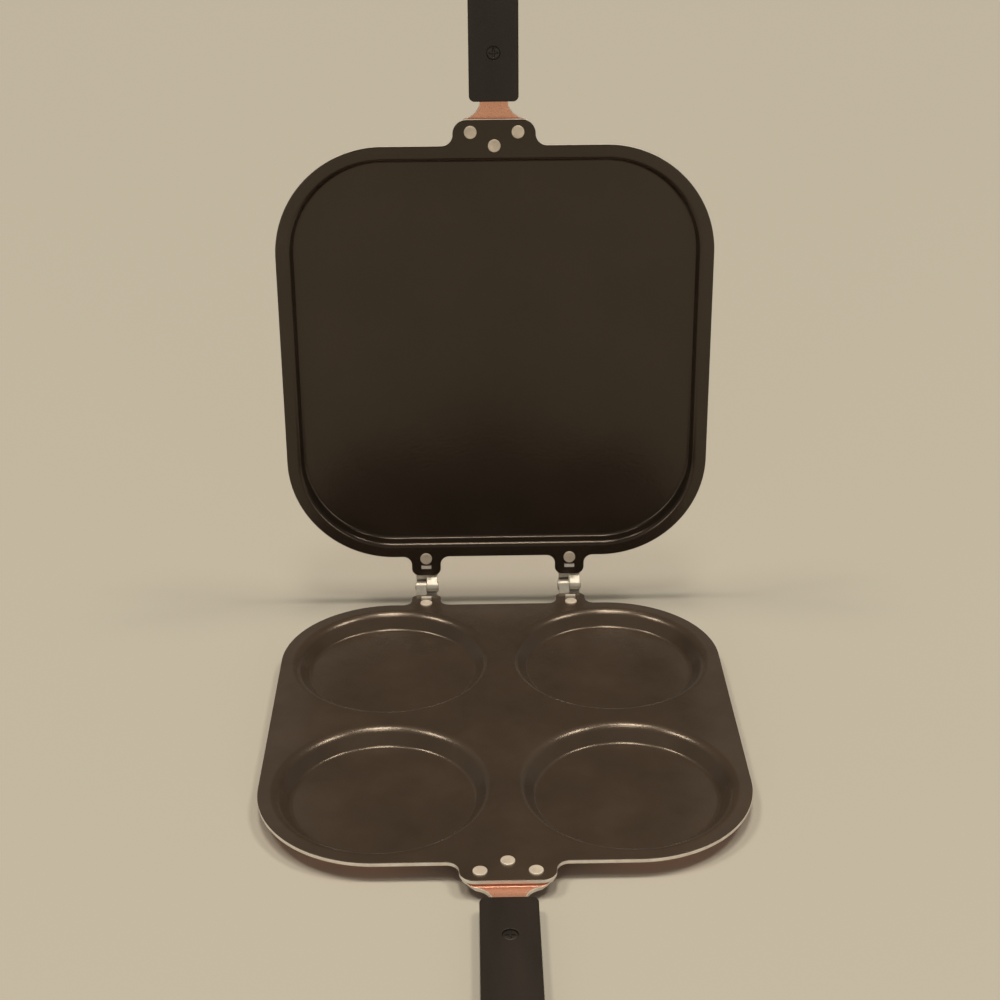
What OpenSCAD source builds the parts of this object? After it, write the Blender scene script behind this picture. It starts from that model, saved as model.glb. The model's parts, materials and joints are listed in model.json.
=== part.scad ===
// Double sided flip pan, standing open as it does beside the stove.
// The lower half has four round wells, the upper half is a flat square griddle.
// Two strap hinges join them, and each half has its own flat handle.
// Each half is drawn flat with its hinge axis on X, its pan running towards -Y and
// its cooking face up; the upper half is then turned over and swung open.

/* [Pan halves] */
// Width of each half across the hinge side
pan_w = 240; // [210:1:280]
// Length of each half from the hinge side to the handle side
pan_l = 240; // [220:1:280]
// Radius of the four large corners
corner_r = 60; // [45:1:63]
// Thickness of the pressed aluminium sheet
sheet_t = 2; // [1.6:0.1:2.4]
// Distance from the hinge axis to the nearest edge of each half
hinge_reach = 18.5; // [17:0.5:24]
// Height of the hinge axis above the cooking face, half the gap when shut
axis_rise = 1.75; // [1.7:0.05:3]
// Angle between the two halves as they stand open
open_angle = 93.15; // [90.5:0.05:100]

/* [Wells] */
// Flat sheet between the rims of neighbouring wells
well_land = 9; // [5:0.5:24]
// Flat sheet between the rim of a well and the pan edge
well_edge = 5.5; // [5:0.5:14]
// Depth of a well below the cooking face
well_depth = 8; // [7:0.5:12]
// Slope of the well wall from the horizontal
well_slope = 50; // [40:1:65]
// Radius of the rolled rim on the cooking side
well_rim_r = 7; // [3:0.5:8]
// Radius between wall and floor on the cooking side
well_floor_r = 3; // [2:0.5:5]

/* [Griddle tray] */
// Width of the flat flange around the tray
tray_flange = 5.8; // [5:0.1:9]
// Depth of the tray below the cooking face
tray_depth = 7.5; // [6:0.5:12]
// Slope of the tray wall from the horizontal
tray_slope = 82; // [65:1:84]
// Radius of the tray rim on the cooking side
tray_rim_r = 2.5; // [2.5:0.1:4]
// Radius between wall and floor on the cooking side
tray_floor_r = 1.5; // [1:0.1:3]

/* [Hinges] */
// Distance of each hinge from the centre line
hinge_x = 42; // [30:1:48]
// Width of a hinge ear on the pan
ear_w = 17; // [16:0.5:20]
// Distance from the hinge axis to the end of the ear
ear_end = 6.5; // [6.2:0.1:8]
// Radius of the two corners of the ear
ear_corner_r = 4.5; // [3:0.5:4.5]
// Radius where the ear runs into the pan edge
ear_root_r = 5; // [3:0.5:6]
// Thickness of a hinge leaf
leaf_t = 1.5; // [1.2:0.1:1.8]
// Width of a hinge leaf under the ear
leaf_w = 13.2; // [12.6:0.1:15]
// Distance from the hinge axis to the far end of a leaf
leaf_len = 22.4; // [21.5:0.1:23]
// Slope of the strap that rises from the leaf to its knuckle
strap_slope = 55; // [54:1:64]
// How far the stop finger hooks round past the level of the axis
finger_end = 48; // [30:1:49]
// Radius of the hinge pin
pin_r = 1.6; // [1.3:0.1:1.8]
// Width of one curled knuckle
knuckle_w = 6; // [5:0.1:6.1]
// Radius of the pin's head
pin_head_r = 3; // [2.4:0.1:3.1]
// Thickness of the pin's head
pin_head_t = 0.9; // [0.6:0.1:1.4]
// Distance from the hinge axis to the rivet of each leaf
hinge_rivet_s = 17.4; // [16.8:0.1:18]
// Distance from the hinge axis to the locating tab of each leaf
tab_s = 12.2; // [11.4:0.1:12.3]
// Width of the locating tab
tab_w = 5.7; // [4:0.1:7]
// Height of the locating tab above the cooking face
tab_rise = 1.6; // [1:0.1:1.6]

/* [Handle ears] */
// Width of the handle ear on the pan
grip_ear_w = 44.4; // [42:0.2:52]
// How far the handle ear stands out from the pan edge
grip_ear_len = 13.8; // [13.6:0.1:16]
// Radius of the two corners of the handle ear
grip_ear_corner_r = 7.5; // [5:0.5:7.5]
// Radius where the handle ear runs into the pan edge
grip_ear_root_r = 6; // [4:0.5:6]

/* [Rivets] */
// Radius of the flat rivet heads on the cooking side
rivet_head_r = 3.4; // [3:0.1:3.6]
// Thickness of the rivet heads
rivet_head_t = 0.9; // [0.6:0.1:1.2]
// Radius of the rivet shanks
rivet_r = 2; // [1.5:0.1:2.2]
// Half the distance between the two outer handle rivets
grip_rivet_x = 12.7; // [10:0.1:14]
// Distance of the outer handle rivets beyond the pan edge
grip_rivet_out = 7.2; // [6.8:0.1:8]

/* [Handle brackets] */
// Thickness of the bracket plate
bracket_t = 2; // [1.6:0.1:2.4]
// Width of the bracket pad under the ear
pad_w = 42.6; // [38:0.2:42.6]
// Radius of the pad's two front corners
pad_corner_r = 9; // [5:0.5:9]
// How far the pad reaches out beyond the pan edge
pad_out = 14.4; // [13.8:0.1:15.4]
// Gap between the tails of the outer rivets and the bend of the bracket
bend_gap = 0.1; // [0.1:0.1:0.5]
// Length of the sloping part
bend_run = 2.9; // [2.4:0.1:3.4]
// Width of the neck where it leaves the pad
neck_w = 23; // [18:0.5:24]
// Length over which the neck narrows to the tongue
neck_len = 6; // [4:0.5:7]
// Width of the tongue that runs into the handle
tongue_w = 15.2; // [12:0.2:17]
// Length of the tongue inside the handle
tongue_len = 44; // [36:1:60]
// How far the tongue steps down below the pad
joggle = 1.5; // [1.4:0.1:2.2]

/* [Handles] */
// Width of a handle
grip_w = 26.4; // [24:0.2:32]
// Length of a handle
grip_len = 160; // [130:1:190]
// Thickness of a handle
grip_t = 7.7; // [7.3:0.1:7.9]
// Height of the rounded underside of a handle
crown_h = 4.1; // [3:0.1:4.8]
// How far in from the sides the underside becomes flat
crown_in = 6.8; // [5:0.1:7.2]
// Radius of the two small corners at the pan end
grip_corner_r = 3; // [2:0.5:5]
// Gap between the pan edge and the handle
grip_gap = 22.7; // [20.5:0.1:28]
// Depth of the handle's flat face below the cooking face
grip_drop = 1.6; // [1.4:0.1:1.8]
// Distance of the handle screw from the end of the handle
screw_s = 25.3; // [18:0.1:32]
// Width of the hanging slot
slot_w = 9; // [7:0.5:10]
// Length of the hanging slot
slot_len = 20; // [14:1:28]
// Distance from the handle's tip to the middle of the hanging slot
slot_back = 18.5; // [17.5:0.5:24]

/* [Fits] */
// Radial clearance of each pin in its knuckles
pin_fit = 0.05; // [0.02:0.01:0.09]
// Radial clearance of rivets and screws in their holes
hole_fit = 0.05; // [0.03:0.01:0.1]
// Clearance between a knuckle and what it turns beside
turn_gap = 0.2; // [0.15:0.05:0.3]
// Clearance around tabs and tongues in their slots
slot_fit = 0.1; // [0.05:0.05:0.2]

/* [Hidden] */
$fn = 64;

coat_low = [0.30, 0.26, 0.22];
coat_up = [0.22, 0.18, 0.15];
steel = [0.78, 0.76, 0.72];
rivet_metal = [0.86, 0.83, 0.78];
copper = [0.80, 0.55, 0.42];
grip_black = [0.12, 0.11, 0.10];

over = 1;                                  // how far joined solids run into each other
cut = 0.5;                                 // how far a cut runs past the face it opens
seam = 0.04;                               // gap drawn between the flat sheet and a well
well_lip = 0.02;                           // flat rim of a well outside its roll
arc_steps = 7;                             // straight steps in each rolled radius

face_z = -axis_rise;                       // cooking face of a half, seen from its axis
under_z = face_z - sheet_t;                // outer face of the flat flange
pan_mid = hinge_reach + pan_l / 2;         // distance from the axis to the pan's middle
far_edge = hinge_reach + pan_l;            // distance from the axis to the handle side
axis_z = well_depth + sheet_t + axis_rise; // height of the axis over the table

// The wells fill the sheet: their rims end at this radius, at these pitches.
well_r = (min(pan_w, pan_l) - 2 * well_edge - well_land) / 4;
well_pitch_x = pan_w - 2 * (well_edge + well_r);
well_pitch_y = pan_l - 2 * (well_edge + well_r);

knuckle_r = pin_r + leaf_t;                // outer radius of a curled knuckle
hinge_w = 2 * knuckle_w + turn_gap;        // both knuckles side by side
leaf_corner_r = 3;                         // corners at the far end of a leaf
finger_r = knuckle_r + turn_gap + 0.1;     // inner radius of the stop finger
finger_reach = 12;                         // size of the wedge that trims the stop finger
tab_play = tab_s - leaf_t / 2;             // near side of the locating tab
window_len = 4;                            // length of the window the tab is bent from

peen_r = pin_head_r * 0.75;                // radius of the pin's peened end
peen_t = pin_head_t * 0.7;                 // thickness of the pin's peened end
drive_w = 0.9;                             // width of the screw's cross recess

pad_start = far_edge - 3.9;                // inner end of the bracket pad
pad_end = far_edge + pad_out;              // outer end of the bracket pad
rivet_soft = 0.3;                          // bevel round a rivet head
rivet_tail_r = rivet_head_r - rivet_soft;  // radius of the tail formed behind the sheet
bend_back = bracket_t * tan(atan(joggle / bend_run) / 2);
bend_s = far_edge + grip_rivet_out + rivet_tail_r + bend_gap + bend_back;
grip_s = far_edge + grip_gap;              // where the handle starts
tip_s = grip_s + grip_len;                 // where the handle ends
tongue_z = under_z - joggle;               // top face of the tongue
grip_z = face_z - grip_drop;               // flat face of the handle
grip_rivet_spots = [
    [-grip_rivet_x, far_edge + grip_rivet_out],
    [grip_rivet_x, far_edge + grip_rivet_out],
    [0, far_edge]
];

grip_edge = 1.2;                           // radius of the flat face's edge
screw_head_r = 3.5;
screw_head_t = 1.2;
screw_seat = 0.3;                          // handle left between the head and the tongue
screw_sink = grip_z - tongue_z - screw_head_t - screw_seat;
screw_r = 2;
screw_len = 4.8;

// Layers of a handle as [depth below the flat face, how far the outline is drawn in].
grip_layers = concat(
    [for (a = [90:-30:0]) [grip_edge * (1 - sin(a)), grip_edge * (1 - cos(a))]],
    [for (a = [0:15:90]) [grip_t - crown_h * (1 - sin(a)), crown_in * (1 - cos(a))]]
);

// The row's frame: on the table, under the middle of the standing pan's box.
lean = open_angle - 90;
back_y = max([for (layer = grip_layers)
    (tip_s - layer[1]) * sin(lean) + (layer[0] - grip_z) * cos(lean)]);
frame_y = (tip_s - back_y) / 2;

// ---- placing -------------------------------------------------------------------

module lower_half() {
    translate([0, frame_y, axis_z]) children();
}

module upper_half() {
    translate([0, frame_y, axis_z]) rotate([-open_angle, 0, 0]) rotate([0, 180, 0]) children();
}

// ---- shared shapes -------------------------------------------------------------

function arc(cx, cy, r, from, to) =
    [for (i = [0:arc_steps]) let (a = from + (to - from) * i / arc_steps)
        [cx + r * cos(a), cy + r * sin(a)]];

function flip(list) = [for (i = [len(list) - 1:-1:0]) list[i]];

// Length of the straight part of a pressed wall, and its whole run inwards.
function wall_run(depth, slope, rim, foot) =
    let (straight = (depth - (rim + foot) * (1 - cos(slope))) / sin(slope))
    (rim + foot) * sin(slope) + straight * cos(slope);

// One face of a pressed wall: rim roll, slope and foot, at skin below the cooking side.
function wall_face(r, depth, slope, rim, foot, skin) =
    let (foot_r = r - wall_run(depth, slope, rim, foot))
    concat(
        arc(r, -rim, rim - skin, 90, 90 + slope),
        arc(foot_r, foot - depth, foot + skin, 270 + slope, 270));

// Section of a pressed wall whose flat land ends at radius r, drawn out to outer.
module wall_section(r, depth, slope, rim, foot, inner, outer) {
    polygon(concat(
        [[outer, 0]],
        wall_face(r, depth, slope, rim, foot, 0),
        [[inner, -depth], [inner, -depth - sheet_t]],
        flip(wall_face(r, depth, slope, rim, foot, sheet_t)),
        [[outer, -sheet_t]]));
}

module round_rect(w, l, r) {
    square([w - 2 * r, l], center = true);
    square([w, l - 2 * r], center = true);
    for (x = [-1, 1], y = [-1, 1])
        translate([x * (w / 2 - r), y * (l / 2 - r)]) circle(r);
}

// A plate end with rounded corners and hollow roots, standing out from y = 0 to y = len.
module ear(w, len, corner, root) {
    translate([-w / 2, -over]) square([w, len - corner + over]);
    translate([corner - w / 2, -over]) square([w - 2 * corner, len + over]);
    for (side = [-1, 1]) {
        translate([side * (w / 2 - corner), len - corner]) circle(corner);
        difference() {
            translate([side * (w / 2 + root / 2 - over / 2), (root - over) / 2])
                square([root + over, root + over], center = true);
            translate([side * (w / 2 + root), root]) circle(root);
        }
    }
}

module pan_outline() {
    translate([0, -pan_mid]) round_rect(pan_w, pan_l, corner_r);
    for (side = [-1, 1])
        translate([side * hinge_x, -hinge_reach])
            ear(ear_w, hinge_reach - ear_end, ear_corner_r, ear_root_r);
    translate([0, -far_edge]) rotate(180)
        ear(grip_ear_w, grip_ear_len, grip_ear_corner_r, grip_ear_root_r);
}

// Everything that is cut through the flange and the ears of either half.
module pan_holes() {
    for (spot = grip_rivet_spots)
        translate([spot[0], -spot[1], under_z - cut])
            cylinder(r = rivet_r + hole_fit, h = sheet_t + 2 * cut);
    for (side = [-1, 1]) {
        translate([side * hinge_x, -hinge_rivet_s, under_z - cut])
            cylinder(r = rivet_r + hole_fit, h = sheet_t + 2 * cut);
        translate([side * hinge_x, -tab_s, face_z - sheet_t / 2])
            cube([tab_w + 2 * slot_fit, leaf_t + 2 * slot_fit, sheet_t + 2 * cut], center = true);
    }
}

// ---- pan halves ----------------------------------------------------------------

// Middle of a well, from the middle of the sheet: -1 or 1 across, -1 or 1 lengthways.
function well_spot(x, y) = [x * well_pitch_x / 2, y * well_pitch_y / 2 - pan_mid];

// The flat sheet of the lower half, with the four wells taken out of it.
module well_pan() {
    color(coat_low) difference() {
        translate([0, 0, under_z]) linear_extrude(sheet_t) difference() {
            pan_outline();
            for (x = [-1, 1], y = [-1, 1]) translate(well_spot(x, y)) circle(well_r + seam / 2);
        }
        pan_holes();
    }
}

// One pressed well. It is one sheet with the pan, drawn apart so that its hollow stays open.
module well(x, y) {
    color(coat_low) translate([well_spot(x, y)[0], well_spot(x, y)[1], face_z]) rotate_extrude()
        wall_section(well_r - seam / 2 - well_lip, well_depth, well_slope, well_rim_r,
            well_floor_r, 0, well_r - seam / 2);
}

module griddle_pan() {
    bend_r = corner_r - tray_flange;
    foot_r = bend_r - wall_run(tray_depth, tray_slope, tray_rim_r, tray_floor_r);
    mid_x = pan_w / 2 - corner_r;
    mid_y = pan_l / 2 - corner_r;
    color(coat_up) difference() {
        union() {
            translate([0, 0, under_z]) linear_extrude(sheet_t) difference() {
                pan_outline();
                translate([0, -pan_mid])
                    round_rect(2 * (mid_x + bend_r), 2 * (mid_y + bend_r), bend_r);
            }
            translate([0, -pan_mid, face_z]) {
                for (turn = [0, 180]) rotate(turn) {
                    tray_side(mid_x, 2 * mid_y, bend_r, foot_r);
                    rotate(90) tray_side(mid_y, 2 * mid_x, bend_r, foot_r);
                    translate([mid_x, mid_y]) tray_corner(bend_r, foot_r);
                    translate([mid_x, -mid_y]) rotate(-90) tray_corner(bend_r, foot_r);
                }
                translate([0, 0, -tray_depth - sheet_t]) linear_extrude(sheet_t)
                    round_rect(2 * (mid_x + foot_r), 2 * (mid_y + foot_r), foot_r);
            }
        }
        pan_holes();
    }
}

module tray_wall(bend_r, foot_r) {
    wall_section(bend_r, tray_depth, tray_slope, tray_rim_r, tray_floor_r,
        foot_r - over, bend_r + over);
}

module tray_side(out, len, bend_r, foot_r) {
    translate([out, 0]) rotate([90, 0, 0])
        linear_extrude(len, center = true) tray_wall(bend_r, foot_r);
}

module tray_corner(bend_r, foot_r) {
    rotate_extrude(angle = 90) tray_wall(bend_r, foot_r);
}

// ---- hinges --------------------------------------------------------------------

// Point at height z on the strap's side that touches a circle of radius r about the axis.
function strap_point(r, z) = [(z * cos(strap_slope) - r) / sin(strap_slope), z];

// Side view of the leaf's own knuckle strap, which rises from under the ear to the curl.
module strap_section() {
    away = [-sin(strap_slope), cos(strap_slope)];
    polygon([
        [-ear_end - over, under_z], strap_point(knuckle_r, under_z), knuckle_r * away,
        pin_r * away, strap_point(pin_r, under_z - leaf_t), [-ear_end - over, under_z - leaf_t]
    ]);
}

// Side view of the finger's strap, which runs below the other leaf's knuckle.
module finger_section() {
    polygon([
        [-ear_end - over, under_z], [-finger_r, under_z], [0, -finger_r],
        [0, -finger_r - leaf_t], [-finger_r, under_z - leaf_t], [-ear_end - over, under_z - leaf_t]
    ]);
}

// Side view of the finger's hook, which climbs behind the other leaf's knuckle.
module hook_section() {
    intersection() {
        difference() {
            circle(finger_r + leaf_t);
            circle(finger_r);
        }
        polygon(finger_reach * [
            [0, 0], [0, -1], [1, -1], [1, 0], [cos(finger_end), sin(finger_end)]
        ]);
    }
}

// Carries a side view in Y and Z along X, from x to x + w.
module along_x(x, w) {
    translate([x, 0, 0]) rotate([90, 0, 90]) linear_extrude(w) children();
}

// One pressed leaf: flat strap, own knuckle at -X, stop finger at +X, locating tab.
module hinge_leaf() {
    own_x = -hinge_w / 2;
    other_x = hinge_w / 2 - knuckle_w;
    color(steel) difference() {
        union() {
            translate([0, 0, under_z - leaf_t]) linear_extrude(leaf_t) {
                translate([-leaf_w / 2, leaf_corner_r - leaf_len])
                    square([leaf_w, leaf_len - leaf_corner_r - ear_end]);
                translate([leaf_corner_r - leaf_w / 2, -leaf_len])
                    square([leaf_w - 2 * leaf_corner_r, leaf_len - ear_end]);
                for (side = [-1, 1])
                    translate([side * (leaf_w / 2 - leaf_corner_r), leaf_corner_r - leaf_len])
                        circle(leaf_corner_r);
            }
            along_x(own_x, knuckle_w) strap_section();
            along_x(own_x, knuckle_w) circle(knuckle_r);
            along_x(other_x, knuckle_w) finger_section();
            along_x(other_x, knuckle_w) hook_section();
            translate([-tab_w / 2, -tab_s - leaf_t / 2, under_z - leaf_t])
                cube([tab_w, leaf_t, leaf_t + sheet_t + tab_rise]);
        }
        along_x(own_x - cut, knuckle_w + 2 * cut) circle(pin_r + pin_fit);
        translate([-tab_w / 2, -tab_play, under_z - leaf_t - cut])
            cube([tab_w, window_len, leaf_t + 2 * cut]);
        translate([0, -hinge_rivet_s, under_z - leaf_t - cut])
            cylinder(r = rivet_r + hole_fit, h = leaf_t + 2 * cut);
    }
}

module hinge_pin(side) {
    color(steel) rotate([0, -90 * side, 0]) {
        translate([0, 0, -hinge_w / 2 - turn_gap]) cylinder(r = pin_r, h = hinge_w + 2 * turn_gap);
        translate([0, 0, hinge_w / 2 + turn_gap / 2]) cylinder(r = pin_head_r, h = pin_head_t);
        translate([0, 0, -hinge_w / 2 - turn_gap / 2 - peen_t]) cylinder(r = peen_r, h = peen_t);
    }
}

// ---- rivets --------------------------------------------------------------------

// A solid rivet with its flat head on z = 0 and its tail formed at z = -grip.
module rivet(grip) {
    color(rivet_metal) {
        cylinder(r = rivet_head_r, h = rivet_head_t - rivet_soft);
        translate([0, 0, rivet_head_t - rivet_soft])
            cylinder(r1 = rivet_head_r, r2 = rivet_head_r - rivet_soft, h = rivet_soft);
        translate([0, 0, -grip - cut]) cylinder(r = rivet_r, h = grip + 2 * cut);
        translate([0, 0, -grip - rivet_head_t]) cylinder(r = rivet_tail_r, h = rivet_head_t);
    }
}

module handle_rivets() {
    for (spot = grip_rivet_spots)
        translate([spot[0], -spot[1], face_z]) rivet(sheet_t + bracket_t);
}

module hinge_rivet() {
    translate([0, -hinge_rivet_s, face_z]) rivet(sheet_t + leaf_t);
}

// ---- handles -------------------------------------------------------------------

// Plan of the bracket: pad, drawn-in neck and tongue.
module bracket_outline() {
    pad_len = pad_end - pad_start;
    translate([-pad_w / 2, pad_corner_r - pad_end]) square([pad_w, pad_len - pad_corner_r]);
    translate([pad_corner_r - pad_w / 2, -pad_end]) square([pad_w - 2 * pad_corner_r, pad_len]);
    for (side = [-1, 1])
        translate([side * (pad_w / 2 - pad_corner_r), pad_corner_r - pad_end]) circle(pad_corner_r);
    polygon([
        [-neck_w / 2, over - pad_end], [-neck_w / 2, -pad_end - over],
        [-tongue_w / 2, -pad_end - neck_len], [-tongue_w / 2, -grip_s - tongue_len],
        [tongue_w / 2, -grip_s - tongue_len], [tongue_w / 2, -pad_end - neck_len],
        [neck_w / 2, -pad_end - over], [neck_w / 2, over - pad_end]
    ]);
}

// Side view of the bracket, with the step down between pad and tongue.
module bracket_section() {
    end_s = grip_s + tongue_len + over;
    polygon([
        [over - pad_start, under_z], [-bend_s, under_z],
        [-bend_s - bend_run, tongue_z], [-end_s, tongue_z],
        [-end_s, tongue_z - bracket_t], [bend_back - bend_s - bend_run, tongue_z - bracket_t],
        [bend_back - bend_s, under_z - bracket_t], [over - pad_start, under_z - bracket_t]
    ]);
}

module handle_bracket() {
    color(copper) difference() {
        intersection() {
            translate([0, 0, tongue_z - 2 * bracket_t])
                linear_extrude(joggle + 3 * bracket_t) bracket_outline();
            along_x(-pad_w, 2 * pad_w) bracket_section();
        }
        for (spot = grip_rivet_spots)
            translate([spot[0], -spot[1], under_z - bracket_t - cut])
                cylinder(r = rivet_r + hole_fit, h = bracket_t + 2 * cut);
        translate([0, -grip_s - screw_s, tongue_z - bracket_t - cut])
            cylinder(r = screw_r + hole_fit, h = bracket_t + 2 * cut);
    }
}

// Outline of the handle at one layer: two small corners and a round end.
function grip_loop(depth, inset) =
    let (corner_x = grip_w / 2 - inset - grip_corner_r, corner_y = -grip_corner_r - inset / 2)
    let (end_r = grip_w / 2 - inset, end_y = grip_w / 2 - grip_len)
    concat(
        [for (a = [0:18:90])
            [corner_x + grip_corner_r * cos(a), corner_y + grip_corner_r * sin(a), -depth]],
        [for (a = [90:18:180])
            [grip_corner_r * cos(a) - corner_x, corner_y + grip_corner_r * sin(a), -depth]],
        [for (a = [180:10:360]) [end_r * cos(a), end_y + end_r * sin(a), -depth]]
    );

// Handle before anything is cut into it, built up layer by layer.
module grip_blank() {
    loops = [for (layer = grip_layers) grip_loop(layer[0], layer[1])];
    count = len(loops[0]);
    last = len(loops) - 1;
    polyhedron(
        points = [for (loop = loops) for (point = loop) point],
        faces = concat(
            [[for (i = [count - 1:-1:0]) i]],
            [for (k = [0:last - 1]) for (i = [0:count - 1]) let (j = (i + 1) % count)
                [k * count + i, k * count + j, (k + 1) * count + j, (k + 1) * count + i]],
            [[for (i = [0:count - 1]) last * count + i]]
        ),
        convexity = 2
    );
}

module handle() {
    color(grip_black) translate([0, -grip_s, grip_z]) difference() {
        grip_blank();
        translate([0, 0, tongue_z - grip_z - bracket_t / 2])
            translate([-tongue_w / 2 - slot_fit, -tongue_len - slot_fit, -bracket_t / 2 - slot_fit])
                cube([tongue_w + 2 * slot_fit, tongue_len + slot_fit + cut, bracket_t + 2 * slot_fit]);
        translate([0, -screw_s, -screw_sink - screw_head_t - hole_fit])
            cylinder(r = screw_head_r + hole_fit, h = screw_head_t + screw_sink + cut);
        translate([0, -screw_s, -screw_sink - screw_head_t - screw_len - hole_fit])
            cylinder(r = screw_r + hole_fit, h = screw_len + cut);
        translate([0, slot_back - grip_len, -grip_t - cut]) linear_extrude(grip_t + 2 * cut) {
            square([slot_w, slot_len - slot_w], center = true);
            for (side = [-1, 1]) translate([0, side * (slot_len - slot_w) / 2]) circle(slot_w / 2);
        }
    }
}

module handle_screw() {
    head_z = grip_z - screw_sink - screw_head_t;
    color(grip_black) translate([0, -grip_s - screw_s, head_z]) difference() {
        union() {
            cylinder(r = screw_head_r, h = screw_head_t);
            translate([0, 0, -screw_len]) cylinder(r = screw_r, h = screw_len + cut);
        }
        for (turn = [0, 90]) rotate(turn)
            translate([0, 0, screw_head_t]) cube([2 * screw_r, drive_w, drive_w], center = true);
    }
}

// ---- nodes ---------------------------------------------------------------------

lower_half() well_pan();  // lower_pan
upper_half() griddle_pan();  // upper_pan
lower_half() well(-1, 1);  // left_back_well
lower_half() well(1, 1);  // right_back_well
lower_half() well(-1, -1);  // left_front_well
lower_half() well(1, -1);  // right_front_well
lower_half() handle_bracket();  // lower_handle_bracket
upper_half() handle_bracket();  // upper_handle_bracket
lower_half() handle();  // lower_handle
upper_half() handle();  // upper_handle
lower_half() handle_screw();  // lower_handle_screw
upper_half() handle_screw();  // upper_handle_screw
lower_half() handle_rivets();  // lower_handle_rivets
upper_half() handle_rivets();  // upper_handle_rivets
lower_half() translate([-hinge_x, 0, 0]) hinge_leaf();  // left_lower_hinge_leaf
lower_half() translate([hinge_x, 0, 0]) hinge_leaf();  // right_lower_hinge_leaf
upper_half() translate([hinge_x, 0, 0]) hinge_leaf();  // left_upper_hinge_leaf
upper_half() translate([-hinge_x, 0, 0]) hinge_leaf();  // right_upper_hinge_leaf
lower_half() translate([-hinge_x, 0, 0]) hinge_pin(-1);  // left_hinge_pin
lower_half() translate([hinge_x, 0, 0]) hinge_pin(1);  // right_hinge_pin
lower_half() translate([-hinge_x, 0, 0]) hinge_rivet();  // left_lower_hinge_rivet
lower_half() translate([hinge_x, 0, 0]) hinge_rivet();  // right_lower_hinge_rivet
upper_half() translate([hinge_x, 0, 0]) hinge_rivet();  // left_upper_hinge_rivet
upper_half() translate([-hinge_x, 0, 0]) hinge_rivet();  // right_upper_hinge_rivet
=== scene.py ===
import json
import math

import bmesh
import bpy
import numpy as np
from mathutils import Matrix, Vector
from mathutils.geometry import tessellate_polygon


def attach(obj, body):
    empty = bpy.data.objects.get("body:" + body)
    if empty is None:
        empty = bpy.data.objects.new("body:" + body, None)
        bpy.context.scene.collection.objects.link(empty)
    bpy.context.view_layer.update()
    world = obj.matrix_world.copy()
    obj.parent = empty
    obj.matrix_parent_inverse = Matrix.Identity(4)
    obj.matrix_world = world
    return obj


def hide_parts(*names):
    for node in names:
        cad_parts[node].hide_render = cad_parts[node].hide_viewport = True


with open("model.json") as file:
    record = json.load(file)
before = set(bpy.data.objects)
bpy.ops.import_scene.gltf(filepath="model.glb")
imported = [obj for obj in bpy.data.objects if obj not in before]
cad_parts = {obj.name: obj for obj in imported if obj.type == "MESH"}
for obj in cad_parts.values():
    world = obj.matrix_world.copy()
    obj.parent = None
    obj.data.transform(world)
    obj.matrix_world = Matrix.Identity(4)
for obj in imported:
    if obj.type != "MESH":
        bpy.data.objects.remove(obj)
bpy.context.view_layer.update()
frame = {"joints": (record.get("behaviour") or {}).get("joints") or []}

# Pieces are worked out in mm in one half's own frame: the hinge axis on X, the pan
# towards -Y, the cooking face up. halfPlace then stands them where the frame has them.
mm = 0.001
hingeJoint = frame["joints"][0]
axisPoint = Vector(hingeJoint["pos_m"])
openAngle = math.radians(hingeJoint["range_deg"][1])
halfPlace = {
    "lower": Matrix.Translation(axisPoint),
    "upper": Matrix.Translation(axisPoint)
    @ Matrix.Rotation(-openAngle, 4, "X")
    @ Matrix.Rotation(math.pi, 4, "Y"),
}

pan = {
    "width": 240.0,
    "length": 240.0,
    "corner": 60.0,
    "sheet": 2.0,
    "reach": 18.5,          # hinge axis to the pan edge
    "faceZ": -1.75,         # cooking face, under the hinge axis
    "edgeRound": 0.3,
    "levelStrip": 0.5,      # beside a rounded edge, keeps the shading of the faces level
}
hingeEar = {"x": 42.0, "width": 17.0, "end": 6.5, "corner": 4.5, "root": 5.0}
gripEar = {"width": 44.4, "length": 13.8, "corner": 7.5, "root": 6.0}
tab = {"s": 12.2, "width": 5.7, "thick": 1.5, "rise": 1.6, "slack": 0.25}

panMid = pan["reach"] + pan["length"] / 2
farEdge = pan["reach"] + pan["length"]
underZ = pan["faceZ"] - pan["sheet"]


def hingeX(side, half):
    # The upper half lies the other way up in its own frame, so its left hinge is at +X.
    x = hingeEar["x"] if side == "right" else -hingeEar["x"]
    return x if half == "lower" else -x


# An outline is a list of arcs (x, s, radius, from, to) joined by straight edges, where s
# is the distance from the hinge axis. Arcs that turn clockwise are hollow.

def earArcs(x, base, ear, length, outwards):
    # Two hollow roots and two round corners of a tongue that stands out of the edge s = base.
    half, corner, root = ear["width"] / 2, ear["corner"], ear["root"]
    rootS, cornerS = base + outwards * root, base + outwards * (length - corner)
    rootX, cornerX = -outwards * (half + root), -outwards * (half - corner)
    turn = 0 if outwards < 0 else 180
    return [
        (x - rootX, rootS, root, 90 + turn, turn),
        (x - cornerX, cornerS, corner, 180 + turn, 270 + turn),
        (x + cornerX, cornerS, corner, 270 + turn, 360 + turn),
        (x + rootX, rootS, root, 180 + turn, 90 + turn),
    ]


def cornerArcs():
    # Quarter circles at the pan's corners: near right, far right, far left, near left.
    corner = pan["corner"]
    inX, inS = pan["width"] / 2 - corner, pan["length"] / 2 - corner
    return [
        (x * inX, panMid + s * inS, corner, start, start + 90)
        for x, s, start in ((1, -1, 270), (1, 1, 0), (-1, 1, 90), (-1, -1, 180))
    ]


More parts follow.
